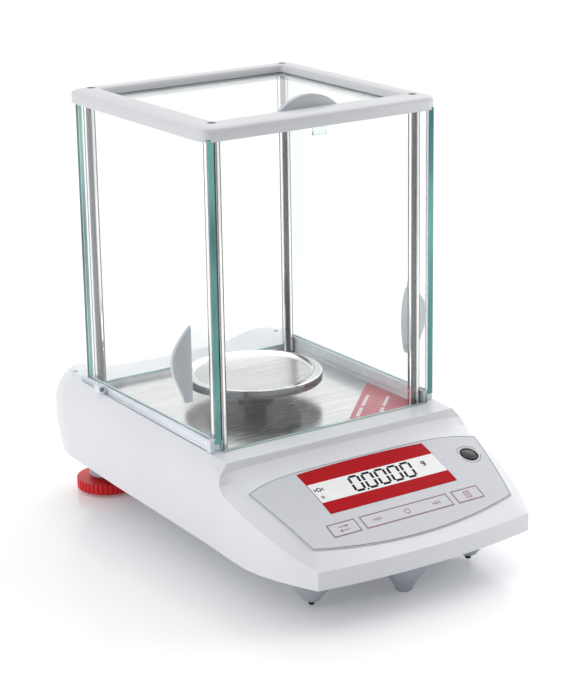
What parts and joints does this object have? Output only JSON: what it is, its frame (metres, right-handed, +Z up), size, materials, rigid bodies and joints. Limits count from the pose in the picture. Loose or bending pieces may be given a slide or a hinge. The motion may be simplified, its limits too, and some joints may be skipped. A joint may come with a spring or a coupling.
{
  "type": "analytical balance",
  "caption": "Precision laboratory balance with a tall square glass draft shield, sliding doors, round steel pan, sloped control panel and levelling feet.",
  "frame": {"origin": "on the table under the middle of the object", "axes": "+Z up; +Y to the rear, so the display faces -Y; +X to the right seen from the front"},
  "size_m": [0.197, 0.3199, 0.2946],
  "materials": {
    "housing_white": "satin moulded shell, pale grey-white",
    "tray_grey": "matt moulded, mid blue-grey",
    "overlay_grey": "fine satin printed film, light blue-grey",
    "window_red": "printed red display window",
    "lcd_grey": "reflective display cell",
    "board_green": "circuit board",
    "vial_black": "black level vial cup",
    "clear_plastic": "clear moulded",
    "pane_glass": "clear float glass, green-blue edges",
    "post_chrome": "polished",
    "plain_steel": "plain turned steel",
    "brushed_steel": "brushed stainless",
    "cast_aluminium": "machined",
    "handle_grey": "satin, pale blue-grey",
    "rail_white": "pale blue-white moulded",
    "wheel_red": "ribbed red wheel",
    "foot_rubber": "black rubber",
    "black_plastic": "black moulded"
  },
  "bodies": {
    "balance_body": {"upper_housing": "housing_white", "top_frame": "housing_white", "lower_housing": "tray_grey", "front_foot": "tray_grey", "control_panel": "overlay_grey", "display_window": "window_red", "lcd_module": "lcd_grey", "control_board": "board_green", "main_board": "board_green", "level_vial_cup": "vial_black", "level_vial_lens": "clear_plastic", "top_door_stop": "clear_plastic", "front_glass": "pane_glass", "rear_glass": "pane_glass", "post_front_left": "post_chrome", "post_front_right": "post_chrome", "post_rear_left": "post_chrome", "post_rear_right": "post_chrome", "housing_screw_front_left": "plain_steel", "housing_screw_front_right": "plain_steel", "housing_screw_rear_left": "plain_steel", "housing_screw_rear_right": "plain_steel", "frame_screw_front_left": "plain_steel", "frame_screw_front_right": "plain_steel", "frame_screw_rear_left": "plain_steel", "frame_screw_rear_right": "plain_steel", "magnet_pot": "plain_steel", "data_port": "plain_steel", "floor_plate": "brushed_steel", "floor_collar": "brushed_steel", "weighing_cell": "cast_aluminium", "cell_base": "cast_aluminium", "left_rail": "rail_white", "right_rail": "rail_white", "left_rail_clip": "rail_white", "safety_pin_left": "foot_rubber", "safety_pin_right": "foot_rubber", "power_module": "black_plastic", "power_jack": "black_plastic", "hook_cover": "black_plastic"},
    "left_door": {"left_door_glass": "pane_glass", "left_door_handle": "handle_grey"},
    "right_door": {"right_door_glass": "pane_glass", "right_door_handle": "handle_grey"},
    "top_door": {"top_door_glass": "pane_glass", "top_door_handle": "handle_grey"},
    "receptor": {"load_receptor": "plain_steel"},
    "pan_carrier": {"pan_support": "cast_aluminium"},
    "weighing_pan": {"pan": "brushed_steel"},
    "unit_key": {"key_unit": "overlay_grey"},
    "zero_key": {"key_zero": "overlay_grey"},
    "print_key": {"key_print": "overlay_grey"},
    "left_pad": {"foot_pad_left": "foot_rubber"},
    "right_pad": {"foot_pad_right": "foot_rubber"},
    "left_wheel": {"foot_wheel_left": "wheel_red", "foot_stem_left": "plain_steel"},
    "right_wheel": {"foot_wheel_right": "wheel_red", "foot_stem_right": "plain_steel"}
  },
  "joints": [
    {"name": "left_door_slide", "type": "slide", "parent": "balance_body", "child": "left_door", "axis": [0, 1, 0], "range_m": [0, 0.14]},
    {"name": "right_door_slide", "type": "slide", "parent": "balance_body", "child": "right_door", "axis": [0, 1, 0], "range_m": [0, 0.14]},
    {"name": "top_door_slide", "type": "slide", "parent": "balance_body", "child": "top_door", "axis": [0, 1, 0], "range_m": [0, 0.128]},
    {"name": "receptor_travel", "type": "slide", "parent": "balance_body", "child": "receptor", "axis": [0, 0, 1], "range_m": [-0.0005, 0], "stiffness_N_per_m": 20000, "springref_m": 0.0001},
    {"name": "carrier_lift", "type": "slide", "parent": "receptor", "child": "pan_carrier", "axis": [0, 0, 1], "range_m": [0, 0.02]},
    {"name": "pan_lift", "type": "slide", "parent": "pan_carrier", "child": "weighing_pan", "axis": [0, 0, 1], "range_m": [0, 0.05]},
    {"name": "unit_key_press", "type": "slide", "parent": "balance_body", "child": "unit_key", "axis": [0, 0.4318, -0.902], "range_m": [0, 0.0005], "stiffness_N_per_m": 3000},
    {"name": "zero_key_press", "type": "slide", "parent": "balance_body", "child": "zero_key", "axis": [0, 0.4318, -0.902], "range_m": [0, 0.0005], "stiffness_N_per_m": 3000},
    {"name": "print_key_press", "type": "slide", "parent": "balance_body", "child": "print_key", "axis": [0, 0.4318, -0.902], "range_m": [0, 0.0005], "stiffness_N_per_m": 3000},
    {"name": "left_foot_travel", "type": "slide", "parent": "balance_body", "child": "left_pad", "axis": [0, 0, 1], "range_m": [-0.004, 0.002]},
    {"name": "left_wheel_turn", "type": "hinge", "parent": "left_pad", "child": "left_wheel", "pos_m": [-0.062, 0.131, 0.0055], "axis": [0, 0, 1], "range_deg": [-1441, 721]},
    {"name": "right_foot_travel", "type": "slide", "parent": "balance_body", "child": "right_pad", "axis": [0, 0, 1], "range_m": [-0.004, 0.002]},
    {"name": "right_wheel_turn", "type": "hinge", "parent": "right_pad", "child": "right_wheel", "pos_m": [0.062, 0.131, 0.0055], "axis": [0, 0, 1], "range_deg": [-1441, 721]}
  ],
  "couplings": [
    {"joint": "left_wheel_turn", "follows": "left_foot_travel", "rad_per_m": 6283.2},
    {"joint": "right_wheel_turn", "follows": "right_foot_travel", "rad_per_m": 6283.2}
  ]
}
